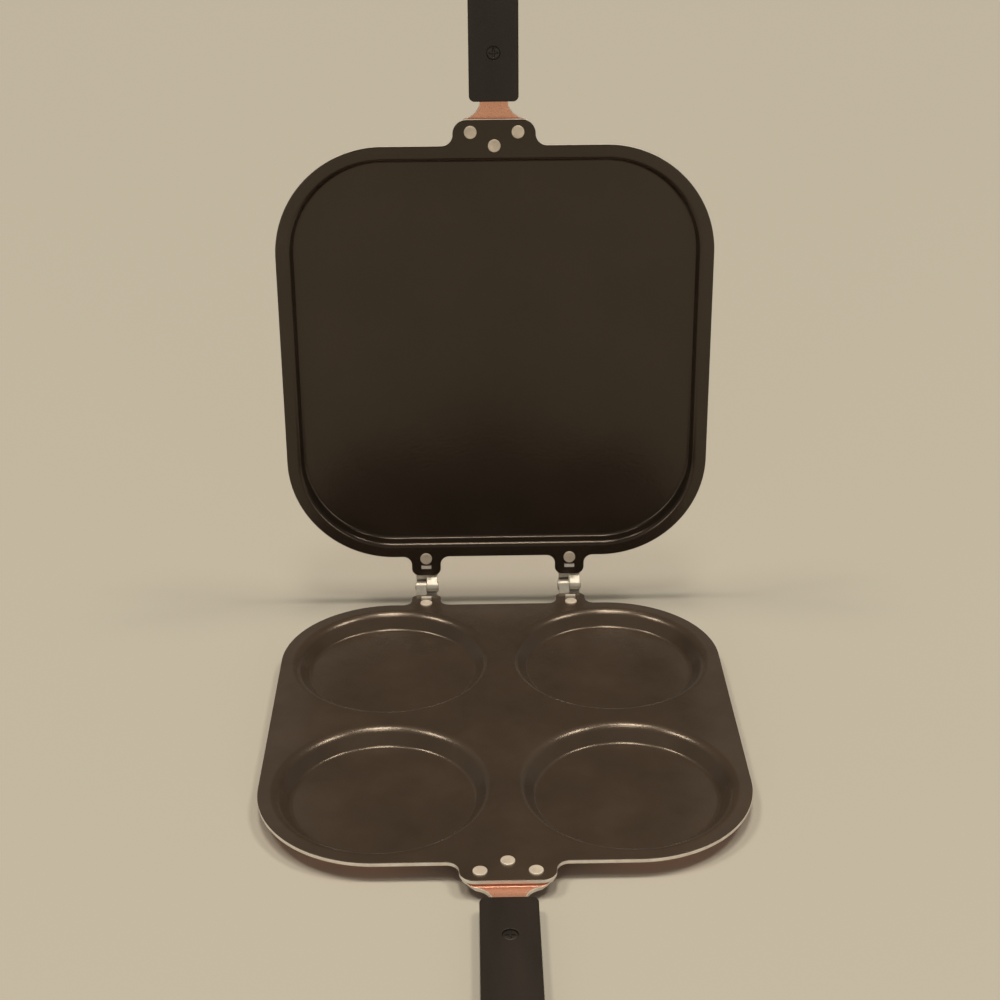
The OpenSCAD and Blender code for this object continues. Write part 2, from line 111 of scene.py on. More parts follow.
def panArcs():
    # Both hinge ears, the right corners, the handle's ear, the left corners.
    corners = cornerArcs()
    length = pan["reach"] - hingeEar["end"]
    return (
        earArcs(-hingeEar["x"], pan["reach"], hingeEar, length, -1)
        + earArcs(hingeEar["x"], pan["reach"], hingeEar, length, -1)
        + corners[:2]
        + earArcs(0, farEdge, gripEar, gripEar["length"], 1)
        + corners[2:]
    )


def arcLoop(arcs, inset=0.0, steps=14):
    # Each arc's radius shrinks by the inset, or grows where the arc is hollow. Arcs over
    # 20 mm get three times the steps.
    parts = []
    for x, s, radius, start, end in arcs:
        angle = np.radians(np.linspace(start, end, steps * (3 if radius > 20 else 1)))
        r = radius - inset if end > start else radius + inset
        parts.append(np.stack([x + r * np.cos(angle), s + r * np.sin(angle)], axis=1))
    return np.concatenate(parts)


def circleLoop(x, s, radius, steps=128):
    # Evenly spaced points on a circle about (x, s).
    angle = np.linspace(0, 2 * math.pi, steps, endpoint=False)
    return np.stack([x + radius * np.cos(angle), s + radius * np.sin(angle)], axis=1)


def rectLoop(x, s, width, length):
    # The four corners of a rectangle about (x, s).
    return np.array([[-1, -1], [1, -1], [1, 1], [-1, 1]]) * [width / 2, length / 2] + [x, s]


def arcProfile(centreX, centreZ, radius, start, end, steps):
    # Points of an arc from start to end degrees, as (distance in, height).
    angle = np.radians(np.linspace(start, end, steps))
    return np.column_stack([centreX + radius * np.cos(angle), centreZ + radius * np.sin(angle)])


def wallProfile(press, skin, steps=12):
    # A pressed wall: rim roll, straight slope and foot roll, as (distance in, height).
    # skin is how far the line lies under the cooking side.
    depth, rim, foot = press["depth"], press["rim"], press["foot"]
    slope = press["slope"]
    a = math.radians(slope)
    straight = (depth - (rim + foot) * (1 - math.cos(a))) / math.sin(a)
    run = (rim + foot) * math.sin(a) + straight * math.cos(a)
    top = arcProfile(0, -rim, rim - skin, 90, 90 - slope, steps)
    low = arcProfile(run, foot - depth, foot + skin, 270 - slope, 270, steps)
    return np.concatenate([top, low])


def atHeight(loop, z):
    # A loop of (x, s) as points of the half's frame, where s runs towards -Y.
    return np.column_stack([loop[:, 0], -loop[:, 1], np.full(len(loop), z)])


class Piece:
    # Patches in one half's frame, in mm, gathered into one closed mesh. paint is the number
    # of a patch's material, or an array with one number for each face.

    def __init__(self):
        self.points, self.faces, self.paints = [], [], []
        self.count = 0

    def add(self, points, faces, paint):
        # Keeps a patch, with its faces' numbers counted on from the points so far.
        self.points.append(np.asarray(points, float).reshape(-1, 3))
        self.faces += (np.asarray(faces) + self.count).tolist()
        self.paints += np.broadcast_to(paint, len(faces)).tolist()
        self.count += len(self.points[-1])

    def grid(self, points, paint=0):
        # points[row, column]: quads between neighbours, the last column joined to the first.
        rows, cols = points.shape[:2]
        index = np.arange(rows * cols).reshape(rows, cols)
        index = np.concatenate([index, index[:, :1]], axis=1)
        corners = [index[:-1, :-1], index[:-1, 1:], index[1:, 1:], index[1:, :-1]]
        self.add(points, np.stack(corners, axis=-1).reshape(-1, 4), paint)

    def flat(self, loops, z, paint=0):
        # The level face inside the first loop and outside the others.
        rings = [[Vector((x, s, 0)) for x, s in loop] for loop in loops]
        self.add(atHeight(np.concatenate(loops), z), tessellate_polygon(rings), paint)

    def rim(self, loopAt, profile, paint=0):
        # A profile of (inset, height) carried round an outline that loopAt gives at each inset.
        self.grid(np.stack([atHeight(loopAt(inset), z) for inset, z in profile]), paint)

    def lathe(self, profile, x, s, paint=0, steps=64):
        # A profile of (radius, height) turned about the upright line through (x, s).
        angle = np.linspace(0, 2 * math.pi, steps, endpoint=False)
        r, z = np.asarray(profile, float).T[:, :, None]
        rings = [x + r * np.cos(angle), -s + r * np.sin(angle), z + 0 * angle]
        self.grid(np.stack(rings, axis=-1), paint)

    def turned(self, profile, x, direction, steps=48):
        # A profile of (radius, distance along) turned about the hinge axis from x.
        angle = np.linspace(0, 2 * math.pi, steps, endpoint=False)
        r, along = np.asarray(profile, float).T[:, :, None]
        rings = [x + direction * along + 0 * angle, r * np.cos(angle), r * np.sin(angle)]
        self.grid(np.stack(rings, axis=-1))

    def bar(self, path, halfWidth, thick, edge, paint=0, edgePaint=None, x=0.0):
        # A strip of sheet: a rectangle with rounded edges carried along path, a line of
        # (s, z) through its middle, with its own half width at each station.
        path = np.asarray(path, float)
        along = np.gradient(path, axis=0)
        along /= np.linalg.norm(along, axis=1)[:, None]
        normal = np.stack([-along[:, 1], along[:, 0]], axis=1)
        half = np.broadcast_to(np.asarray(halfWidth, float), len(path))[:, None]
        # One side of the section from its upper to its lower face, as out and up. The first
        # and last points end level strips that keep the shading of both faces level.
        quarter = np.radians(np.linspace(0, 90, 5))
        levelIn, rise = [-edge * 2.5], thick / 2
        out = np.concatenate([
            levelIn,
            edge * np.sin(quarter) - edge,
            edge * np.cos(quarter) - edge,
            levelIn,
        ])
        up = np.concatenate([
            [rise],
            rise - edge + edge * np.cos(quarter),
            edge - rise - edge * np.sin(quarter),
            [-rise],
        ])
        n = len(out)
        across = np.concatenate([half + out, -half - out[::-1]], axis=1)
        lift = np.concatenate([up, up[::-1]])
        s, z = (path[:, None, k] + normal[:, None, k] * lift for k in (0, 1))
        rings = np.stack([across + x, -s, z], axis=-1)
        cutPaint = paint if edgePaint is None else edgePaint
        column = np.arange(2 * n) % n
        paints = np.where((column >= 1) & (column <= n - 3), cutPaint, paint)
        self.grid(rings, np.tile(paints, len(path) - 1))
        for end in (0, -1):
            self.add(rings[end], [range(2 * n)], cutPaint)

    def finish(self, name, half, nodes, slotName, materials, sharp=32):
        # Turns the patches into the half's place, merges their seams, faces them outwards.
        place = np.array(halfPlace[half])
        points = np.concatenate(self.points) * mm
        points = points @ place[:3, :3].T + place[:3, 3]
        mesh = bpy.data.meshes.new(name)
        mesh.from_pydata(points.tolist(), [], self.faces)
        mesh.polygons.foreach_set("material_index", self.paints)
        work = bmesh.new()
        work.from_mesh(mesh)
        bmesh.ops.remove_doubles(work, verts=work.verts, dist=0.002 * mm)
        bmesh.ops.recalc_face_normals(work, faces=work.faces)
        work.to_mesh(mesh)
        work.free()
        mesh.polygons.foreach_set("use_smooth", [True] * len(mesh.polygons))
        mesh.set_sharp_from_angle(angle=math.radians(sharp))
        for material in materials:
            mesh.materials.append(material)
        made = addToScene(name, mesh)
        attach(made, half + "_half")
        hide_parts(*nodes.split())


def addToScene(name, data):
    # An object at the origin that holds a mesh, a lamp or a camera.
    made = bpy.data.objects.new(name, data)
    bpy.context.scene.collection.objects.link(made)
    return made


def startMaterial(name):
    # A material with its nodes, links and main shader at hand.
    material = bpy.data.materials.new(name)
    material.use_nodes = True
    nodes = material.node_tree.nodes
    return material, nodes, material.node_tree.links, nodes["Principled BSDF"]


# In every finish a noise is given as (scale, detail, roughness), and relief as (strength,
# distance in m).

def noise(nodes, links, scale, detail, rough, stretch=None):
    # Noise on the object's own coordinates, drawn out along an axis where stretch says so.
    where = nodes.new("ShaderNodeTexCoord").outputs["Object"]
    if stretch:
        mapping = nodes.new("ShaderNodeMapping")
        mapping.inputs["Scale"].default_value = stretch
        links.new(where, mapping.inputs["Vector"])
        where = mapping.outputs["Vector"]
    texture = nodes.new("ShaderNodeTexNoise")
    texture.inputs["Scale"].default_value = scale
    texture.inputs["Detail"].default_value = detail
    texture.inputs["Roughness"].default_value = rough
    links.new(where, texture.inputs["Vector"])
    return texture.outputs["Fac"]


def remap(nodes, links, value, low, high, fromLow=0.35, fromHigh=0.65):
    # Carries the middle of the noise over to the range from low to high.
    node = nodes.new("ShaderNodeMapRange")
    node.inputs["From Min"].default_value = fromLow
    node.inputs["From Max"].default_value = fromHigh
    node.inputs["To Min"].default_value = low
    node.inputs["To Max"].default_value = high
    links.new(value, node.inputs["Value"])
    return node.outputs["Result"]


def blend(nodes, links, value, finish, darkAt=0.3, lightAt=0.7):
    # Mixes a finish's dark and light colours by the noise between the two positions.
    node = nodes.new("ShaderNodeValToRGB")
    stops = node.color_ramp.elements
    stops[0].position, stops[0].color = darkAt, (*finish["dark"], 1)
    stops[1].position, stops[1].color = lightAt, (*finish["light"], 1)
    links.new(value, node.inputs["Fac"])
    return node.outputs["Color"]


def bump(nodes, links, height, shader, strength, distance, under=None):
    # Noise as fine relief, on top of the relief that under already gives.
    node = nodes.new("ShaderNodeBump")
    node.inputs["Strength"].default_value = strength
    node.inputs["Distance"].default_value = distance
    links.new(height, node.inputs["Height"])
    if under:
        links.new(under, node.inputs["Normal"])
    links.new(node.outputs["Normal"], shader.inputs["Normal"])
    return node.outputs["Normal"]


# The halves share one coating. The lower half's colours are lighter and the upper half's darker:
# painted light on the lower half and painted shade on the upper, for how each half is lit.
coating = {
    "lower": {"dark": (0.041, 0.0290, 0.0205), "light": (0.058, 0.0410, 0.0290)},
    "upper": {"dark": (0.014, 0.0095, 0.0065), "light": (0.021, 0.0145, 0.0100)},
    "rough": (0.19, 0.27),
    "specular": 0.65,
    "tint": (1.0, 0.84, 0.70),
    "cloud": (28.0, 4.0, 0.55),
    "grain": (1500.0, 2.0, 0.6),
    "grainRelief": (0.25, 0.0001),
    "pebble": (620.0, 2.0, 0.5),
    "pebbleRelief": (0.2, 0.0002),
}


def coatingMaterial(half):
    # Sprayed non stick coating: brown black, satin, with a fine pebbled surface. Each half gets
    # its own copy, with painted light in the lower half's colours and painted shade in the upper
    # half's.
    material, nodes, links, shader = startMaterial(half + "Coating")
    cloud = noise(nodes, links, *coating["cloud"])
    grain = noise(nodes, links, *coating["grain"])
    pebble = noise(nodes, links, *coating["pebble"])
    links.new(blend(nodes, links, cloud, coating[half]), shader.inputs["Base Color"])
    links.new(remap(nodes, links, grain, *coating["rough"]), shader.inputs["Roughness"])
    shader.inputs["Specular IOR Level"].default_value = coating["specular"]
    shader.inputs["Specular Tint"].default_value = (*coating["tint"], 1)
    first = bump(nodes, links, pebble, shader, *coating["pebbleRelief"])
    bump(nodes, links, grain, shader, *coating["grainRelief"], first)
    return material


lacquer = {
    "dark": (0.68, 0.33, 0.21),
    "light": (0.80, 0.42, 0.285),
    "rough": (0.26, 0.38),
    "metal": 0.6,
    "coat": 0.3,
    "coatRough": 0.15,
    "cloud": (35.0, 4.0, 0.55),
    "flake": (2600.0, 1.0, 0.55),
    "flakeRelief": (0.15, 0.0001),
}


def lacquerMaterial():
    # Copper coloured metallic lacquer of the outside and the brackets.
    material, nodes, links, shader = startMaterial("copperLacquer")
    flake = noise(nodes, links, *lacquer["flake"])
    cloud = noise(nodes, links, *lacquer["cloud"])
    links.new(blend(nodes, links, cloud, lacquer), shader.inputs["Base Color"])
    shader.inputs["Metallic"].default_value = lacquer["metal"]
    links.new(remap(nodes, links, flake, *lacquer["rough"]), shader.inputs["Roughness"])
    shader.inputs["Coat Weight"].default_value = lacquer["coat"]
    shader.inputs["Coat Roughness"].default_value = lacquer["coatRough"]
    bump(nodes, links, flake, shader, *lacquer["flakeRelief"])
    return material


metalGrain = {
    "lines": (900.0, 3.0, 0.6),
    "linesRelief": (0.2, 0.00008),
    "spots": (160.0, 4.0, 0.55),
    "lightAt": 0.65,
}
# drawn is the stretch of the fine lines: the noise is finest along the axis with the
# largest number, so the lines run across that axis.
metals = {
    # Bare cut aluminium of the cut edges. The hinge tabs take it too, as a painted highlight that
    # makes them read bright.
    "cutAluminiumAndTabHighlight": {
        "dark": (0.74, 0.68, 0.60),
        "light": (0.90, 0.85, 0.77),
        "rough": (0.42, 0.55),
        "metal": 0.5,
        "drawn": (1, 1, 8),
    },
    "rivetAluminium": {
        "dark": (0.58, 0.50, 0.41),
        "light": (0.76, 0.67, 0.55),
        "rough": (0.40, 0.52),
        "metal": 0.35,
        "drawn": (1, 1, 1),
    },
    "platedSteel": {
        "dark": (0.44, 0.41, 0.35),
        "light": (0.60, 0.56, 0.49),
        "rough": (0.40, 0.48),
        "metal": 0.65,
        "drawn": (6, 1, 1),
    },
    "blackSteel": {
        "dark": (0.014, 0.010, 0.007),
        "light": (0.026, 0.019, 0.013),
        "rough": (0.4, 0.5),
        "metal": 0.2,
        "drawn": (1, 1, 1),
    },
}


def metalMaterial(name):
    # Bare, plated or blacked metal with fine drawn lines and a few dull spots.
    finish = metals[name]
    material, nodes, links, shader = startMaterial(name)
    drawn = noise(nodes, links, *metalGrain["lines"], finish["drawn"])
    spots = noise(nodes, links, *metalGrain["spots"])
    colour = blend(nodes, links, spots, finish, lightAt=metalGrain["lightAt"])
    links.new(colour, shader.inputs["Base Color"])
    shader.inputs["Metallic"].default_value = finish["metal"]
    links.new(remap(nodes, links, drawn, *finish["rough"]), shader.inputs["Roughness"])
    bump(nodes, links, drawn, shader, *metalGrain["linesRelief"])
    return material


handlePlastic = {
    "dark": (0.014, 0.0095, 0.0062),
    "light": (0.024, 0.017, 0.0115),
    "rough": (0.42, 0.56),
    "specular": 0.35,
    "grain": (1900.0, 2.0, 0.6),
    "grainRelief": (0.35, 0.00025),
    "flow": (60.0, 3.0, 0.5),
    "flowStretch": (1.0, 0.25, 0.25),
}


def plasticMaterial():
    # Moulded heat proof plastic: spark eroded grain over faint flow marks.
    material, nodes, links, shader = startMaterial("handlePlastic")
    grain = noise(nodes, links, *handlePlastic["grain"])
    flow = noise(nodes, links, *handlePlastic["flow"], handlePlastic["flowStretch"])
    links.new(blend(nodes, links, flow, handlePlastic), shader.inputs["Base Color"])
    links.new(remap(nodes, links, grain, *handlePlastic["rough"]), shader.inputs["Roughness"])
    shader.inputs["Specular IOR Level"].default_value = handlePlastic["specular"]
    bump(nodes, links, grain, shader, *handlePlastic["grainRelief"])
    return material


# A lit copy of the coating for the lower half and a shaded copy for the upper: painted light and
# shade.
litAndShadedCoats = {half: coatingMaterial(half) for half in ("lower", "upper")}
copper = lacquerMaterial()
cutEdgeAndTabHighlight = metalMaterial("cutAluminiumAndTabHighlight")
rivetMetal = metalMaterial("rivetAluminium")
plated = metalMaterial("platedSteel")
blackSteel = metalMaterial("blackSteel")
plastic = plasticMaterial()
print("materials ready")


outline = panArcs()
skins = ((0.0, 0), (pan["sheet"], 2))    # depth in the sheet and material of its two sides


def panLoop(inset):
    # The outline with its ears, drawn in by the inset.
    return arcLoop(outline, inset)


def panEdge(piece, holes):
    # The sheet's level faces, open at the holes and at the slots of the tabs, and its bare
    # cut edge, whose corners are quarter circles.
    face, under, r = pan["faceZ"], underZ, pan["edgeRound"]
    keep = r + pan["levelStrip"]
    upper = np.concatenate([[[keep, 0]], arcProfile(r, -r, r, 90, 150, 4)]) + [0, face]
    cut = np.concatenate([
        arcProfile(r, face - r, r, 150, 180, 3),
        arcProfile(r, under + r, r, 180, 210, 3),
    ])
    lower = np.concatenate([arcProfile(r, r, r, 210, 270, 4), [[keep, 0]]]) + [0, under]
    for paint, profile in enumerate((upper, cut, lower)):
        piece.rim(panLoop, profile, paint)
    slack = tab["slack"]
    slots = [
        rectLoop(x, tab["s"], tab["width"] + slack, tab["thick"] + slack)
        for x in (-hingeEar["x"], hingeEar["x"])
    ]
    piece.flat([panLoop(keep)] + slots + holes, face, 0)
    piece.flat([panLoop(keep)] + slots + holes, under, 2)
    for slot in slots:
        piece.grid(np.stack([atHeight(slot, face), atHeight(slot, under)]), 1)


def finishPan(piece, half, nodes):
    # Cooking side, cut edge and underside are the materials 0, 1 and 2.
    materials = [litAndShadedCoats[half], cutEdgeAndTabHighlight, copper]
    piece.finish(half + "Pan", half, nodes, "coated_aluminium", materials)


well = {
    "pitch": 119.0,
    "radius": 55.0,
    "depth": 8.0,
    "slope": 50.0,
    "rim": 7.0,
    "foot": 3.0,
    "floorRings": np.array([0.97, 0.7, 0.4, 0.15, 0.0]),    # shares of the floor's radius
}


def makeLowerPan():
    # The sheet with four wells, each a pressed wall and a level floor turned about its middle.
    piece = Piece()
    keep = well["radius"] + pan["levelStrip"]
    half = well["pitch"] / 2
    spots = [(x * half, panMid + s * half) for x in (-1, 1) for s in (-1, 1)]
    panEdge(piece, [circleLoop(x, s, keep) for x, s in spots])
    for skin, paint in skins:
        wall = wallProfile(well, skin)
        inwards = well["radius"] - wall[:, 0]
        level = inwards[-1] * well["floorRings"]
        profile = np.column_stack([
            np.concatenate([[keep], inwards, level]),
            np.concatenate([[-skin], wall[:, 1], np.full(len(level), wall[-1, 1])]),
        ]) + [0, pan["faceZ"]]
        for x, s in spots:
            piece.lathe(profile, x, s, paint, 128)
    wells = "left_back_well right_back_well left_front_well right_front_well"
    finishPan(piece, "lower", "lower_pan " + wells)


tray = {
    "flange": 5.8,
    "depth": 7.5,
    "slope": 82.0,
    "rim": 2.5,
    "foot": 1.5,
    "floorStrip": 0.6,      # beside the foot, keeps the shading of the floor level
}


def makeUpperPan():
    # The sheet with a pressed wall carried round a square with the pan's own corners.
    piece = Piece()
    square = cornerArcs()

    def trayLoop(inset):
        return arcLoop(square, inset)

    keep = tray["flange"] - pan["levelStrip"]
    panEdge(piece, [trayLoop(keep)])
    for skin, paint in skins:
        wall = wallProfile(tray, skin) + [tray["flange"], 0]
        floorIn, floorZ = wall[-1, 0] + tray["floorStrip"], wall[-1, 1]
        profile = np.concatenate([[[keep, -skin]], wall, [[floorIn, floorZ]]]) + [0, pan["faceZ"]]
        piece.rim(trayLoop, profile, paint)
        piece.flat([trayLoop(floorIn)], floorZ + pan["faceZ"], paint)
    finishPan(piece, "upper", "upper_pan")


leaf = {
    "thick": tab["thick"],
    "width": 13.2,
    "length": 22.4,
    "corner": 3.0,
    "rivetS": 17.4,
    "end": hingeEar["end"],
    "slope": 55,            # degrees of the strap that rises to the knuckle
    "bend": 0.9,
    "curlEnd": 333,         # degrees at which the curl stops short of its own strap
    "hookEnd": 48,          # degrees that the stop finger climbs past level
    "edge": 0.2,
    "curlEdge": 0.15,
    "overlap": 0.6,         # how far knuckle and finger start inside the flat strap
}
pin = {
    "radius": 1.6,
    "head": 3.0,
    "headThick": 0.9,
    "headGap": 0.1,
    "knuckle": 6.0,
    "seam": 0.2,
    "gap": 0.3,
}
bracket = {
    "thick": 2.0,
    "bend": 269.4,          # where the tongue starts to leave the pad's level
    "run": 2.9,
    "drop": 1.5,
    "edge": 0.22,
    # Half widths at distances from the axis: rounded front, pad, shoulders, tongue.
    "plan": np.array([
        (254.6, 18.5), (255.4, 20.6), (257.0, 21.3),
        (265.0, 21.3), (267.5, 20.7), (269.6, 19.3), (271.2, 17.4), (272.3, 15.2),
        (273.1, 13.0), (274.2, 11.2), (275.4, 9.9), (276.7, 8.9), (278.2, 8.1),
        (279.8, 7.7), (281.5, 7.6),
    ]),
    # Where the bar has its stations, as (from, to, how many) for the same parts.
    "stations": [(254.6, 257, 8), (260, 266, 3), (266.5, 282, 60), (300, 325, 2)],
}
rivet = {
    "head": 3.4,
    "rise": 0.9,
    "dish": 0.12,
    "edge": 0.35,
    "shank": 2.0,
    "tail": 3.1,
    "tailRise": 0.9,
    "tailLip": 0.15,
    "handleSpots": [(-12.7, 265.7), (12.7, 265.7), (0.0, 258.5)],
}


def rivetProfile(under):
    # (radius, height) down a rivet whose stack ends at the sheet called under: a flat head
    # with a rounded rim and a faint dish, the shank, and a tail that is a quarter ellipse.
    # The numbers are shares of the radii and of the dish.
    head, shank, tail, lip = (rivet[k] for k in ("head", "shank", "tail", "tailLip"))
    dish, edge = rivet["dish"], rivet["edge"]
    face, low = pan["faceZ"], underZ - under["thick"]
    top, bottom = face + rivet["rise"], low - rivet["tailRise"]
    bulge = np.radians(np.linspace(0, 90, 8))
    return np.concatenate([
        [(0, top - dish), (head * 0.45, top - dish), (head * 0.72, top - dish * 0.35)],
        arcProfile(head - edge, top - edge, edge, 80, 0, 6),
        [(head, face), (shank, face), (shank, low), (tail, low)],
        np.column_stack([
            tail * (0.55 + 0.45 * np.cos(bulge)),
            low - lip + (bottom + lip - low) * np.sin(bulge),
        ]),
        [(0, bottom)],
    ])


def finishRivet(piece, name, half, node):
    # All rivets are of one metal.
    piece.finish(name, half, node, "rivet_aluminium", [rivetMetal])


def makeRivets(half):
    # Three rivets of the handle's bracket as one piece, and one rivet for each hinge leaf.
    piece = Piece()
    for x, s in rivet["handleSpots"]:
        piece.lathe(rivetProfile(bracket), x, s)
    finishRivet(piece, half + "HandleRivets", half, half + "_handle_rivets")
    for side in ("left", "right"):
        piece = Piece()
        piece.lathe(rivetProfile(leaf), hingeX(side, half), leaf["rivetS"])
        name = f"{side}{half.title()}HingeRivet"
        finishRivet(piece, name, half, f"{side}_{half}_hinge_rivet")


def makeLeaf(side, half):
    # Strips of one sheet, each a bar along a line of (s, z): strap, knuckle, finger and tab.
    t, corner, x = leaf["thick"], leaf["corner"], hingeX(side, half)
    midZ = underZ - t / 2
    piece = Piece()

    # Flat strap under the ear: a quarter circle rounds off both corners of its far end, and
    # its first stations are a small way in, where the end already has some width.
    turn = np.radians(np.linspace(12, 90, 10))
    s = leaf["length"] - np.concatenate([[0.02], corner * (1 - np.cos(turn))])
    s = np.append(s, leaf["end"] - leaf["overlap"])
    near = np.minimum((leaf["length"] - s) / corner, 1)
    halfWidths = leaf["width"] / 2 - corner + corner * np.sqrt(1 - (1 - near) ** 2)
    piece.bar(np.column_stack([s, np.full(len(s), midZ)]), halfWidths, t, leaf["edge"], x=x)

    # Own knuckle: a soft bend, a straight rise that meets the curl as a tangent, the curl.
    lean = math.radians(90 - leaf["slope"])
    turn = np.linspace(lean, math.radians(leaf["curlEnd"]), 48)
    curl = (pin["radius"] + t / 2) * np.column_stack([np.cos(turn), np.sin(turn)])
    rise = np.array([math.sin(lean), -math.cos(lean)])
    bend = curl[0] + rise * (curl[0, 1] - midZ) / math.cos(lean)
    before, after = bend + [leaf["bend"], 0], bend - rise * leaf["bend"]
    ease = np.linspace(0, 1, 8)[:, None]
    soft = (1 - ease) ** 2 * before + 2 * ease * (1 - ease) * bend + ease ** 2 * after
    inStrap = before + [leaf["overlap"], 0]
    offset = (pin["knuckle"] + pin["seam"]) / 2
    path = np.concatenate([[inStrap], soft, curl])
    piece.bar(path, pin["knuckle"] / 2, t, leaf["curlEdge"], x=x - offset)

    # Stop finger: runs under the other leaf's knuckle and hooks up behind it.
    hookR = pin["radius"] + t + pin["gap"] + t / 2
    turn = np.radians(np.linspace(270, 180 - leaf["hookEnd"], 24))
    hook = hookR * np.column_stack([np.cos(turn), np.sin(turn)])
    level = np.array([hookR - t / 2, midZ])
    dip = (hook[0] + level) / 2 + [0, hook[0, 1] / 2]
    path = np.concatenate([[inStrap, level, dip], hook])
    piece.bar(path, pin["knuckle"] / 2, t, leaf["curlEdge"], x=x + offset)

    # Tab bent up through the ear, from just inside the strap. It takes the pale cut metal instead
    # of its leaf's plated steel: a painted highlight that makes it read bright.
    heights = np.linspace(underZ - t + 0.1, pan["faceZ"] + tab["rise"], 6)
    path = np.column_stack([np.full(len(heights), tab["s"]), heights])
    piece.bar(path, tab["width"] / 2, t, leaf["edge"], 1, x=x)
    name = f"{side}{half.title()}Leaf"
    node = f"{side}_{half}_hinge_leaf"
    piece.finish(name, half, node, "plated_steel", [plated, cutEdgeAndTabHighlight], sharp=38)


def makePin(side):
    # Riveted end, shank and domed head, turned about the hinge axis. The riveted end is given
    # as (share of the head's radius, distance out), the head as shares of radius and thickness.
    head, thick = pin["head"], pin["headThick"]
    reach = pin["knuckle"] + pin["seam"] / 2
    seat = reach + pin["headGap"]
    peened = np.array([(0, 0.75), (0.45, 0.72), (0.7, 0.45), (0.74, 0.1)])
    domed = np.array([(1, 0), (1, 0.55), (0.86, 0.809), (0.5, 0.98), (0, 1)])
    profile = np.concatenate([
        peened * [head, -1] - [0, reach],
        [(pin["radius"], -reach - 0.08), (pin["radius"], seat)],
        domed * [head, thick] + [0, seat],
    ])
    piece = Piece()
    piece.turned(profile, hingeX(side, "lower"), 1 if side == "left" else -1)
    piece.finish(side + "HingePin", "lower", side + "_hinge_pin", "plated_steel", [plated])


def makeBracket(half):
    # One bar with the plan's half widths. Its line drops by an eased ramp where the tongue
    # bends down to the handle: part straight, part smooth step.
    t = bracket["thick"]
    s = np.concatenate([np.linspace(*span) for span in bracket["stations"]])
    lift = np.clip((s - bracket["bend"]) / bracket["run"], 0, 1)
    eased = lift * 0.6 + lift * lift * (3 - 2 * lift) * 0.4
    z = underZ - t / 2 - bracket["drop"] * eased
    halfWidths = np.interp(s, *bracket["plan"].T)
    piece = Piece()
    piece.bar(np.column_stack([s, z]), halfWidths, t, bracket["edge"], 0, 1)
    name, node = half + "HandleBracket", half + "_handle_bracket"
    piece.finish(name, half, node, "copper_lacquer", [copper, cutEdgeAndTabHighlight], sharp=40)


grip = {
    "width": 26.4,
    "length": 160.0,
    "start": 281.2,
    "drop": 1.6,            # flat face under the cooking face
    "thick": 7.7,
    "edge": 1.2,
    "crown": 4.1,
    "crownIn": 6.8,
    "corner": 3.0,
    "leastCorner": 0.8,
    "faceStrip": 0.7,       # the strips are level rings that keep the shading of a face level
    "backStrip": 0.5,
    "slotWidth": 9.0,
    "slotLength": 20.0,
    "slotBack": 18.5,
    "slotRoll": 0.8,
    "slotStrip": 0.3,
    "screwS": 25.3,
    "screwHead": 3.5,
    "screwSink": 0.4,
    "screwThick": 1.2,
    "screwPlay": 0.1,
    "screwLip": 0.25,
    "screwStrip": 0.4,
}
screwS = grip["start"] + grip["screwS"]


def gripLoop(inset):
    # Plan of the handle: two small corners at the pan end and a half round tip. The pan end
    # draws in by half the inset.
    half = grip["width"] / 2 - inset
    corner = max(grip["corner"] - inset, grip["leastCorner"])
    near = grip["start"] + inset / 2
    tip = grip["start"] + grip["length"] - grip["width"] / 2
    return arcLoop([
        (half - corner, near + corner, corner, 270, 360),
        (0, tip, half, 0, 90),
        (0, tip, half, 90, 180),
        (corner - half, near + corner, corner, 180, 270),
    ], steps=16)


def slotLoop(outset):
    # Plan of the hanging slot: two half circles joined by straight sides.
    middle = grip["start"] + grip["length"] - grip["slotBack"]
    straight = (grip["slotLength"] - grip["slotWidth"]) / 2
    r = grip["slotWidth"] / 2 + outset
    ends = [(0, middle + straight, r, 0, 180), (0, middle - straight, r, 180, 360)]
    return arcLoop(ends, steps=20)


def makeGrip(half):
    # Flat face with a quarter round edge and a back whose crown is a quarter ellipse.
    top = pan["faceZ"] - grip["drop"]
    low = top - grip["thick"]
    edge, crownIn = grip["edge"], grip["crownIn"]
    faceIn, backIn = edge + grip["faceStrip"], crownIn + grip["backStrip"]
    angle = np.radians(np.linspace(0, 90, 16))
    crown = [crownIn * (1 - np.cos(angle)), low + grip["crown"] * (1 - np.sin(angle))]
    piece = Piece()
    piece.rim(gripLoop, np.concatenate([
        [[faceIn, top]],
        arcProfile(edge, top - edge, edge, 90, 180, 9),
        np.column_stack(crown),
        [[backIn, low]],
    ]))

    # Hanging slot with rolled edges.
    roll = grip["slotRoll"]
    slotOut = roll + grip["slotStrip"]
    piece.rim(slotLoop, np.concatenate([
        [[slotOut, top]],
        arcProfile(roll, top - roll, roll, 90, 180, 7),
        arcProfile(roll, low + roll, roll, 180, 270, 7),
        [[slotOut, low]],
    ]))

    # Sunk hole of the fixing screw, with a softened lip.
    hole, lip = grip["screwHead"] + grip["screwPlay"], grip["screwLip"]
    sink = top - grip["screwSink"] - grip["screwThick"]
    holeOut = hole + lip + grip["screwStrip"]
    piece.lathe(np.concatenate([
        [[holeOut, top]],
        arcProfile(hole + lip, top - lip, lip, 90, 180, 5),
        [[hole, sink], [0, sink]],
    ]), 0, screwS, steps=48)
    holes = [slotLoop(slotOut), circleLoop(0, screwS, holeOut, 48)]
    piece.flat([gripLoop(faceIn)] + holes, top)
    piece.flat([gripLoop(backIn), slotLoop(slotOut)], low)
    piece.finish(half + "Handle", half, half + "_handle", "handle_plastic", [plastic])


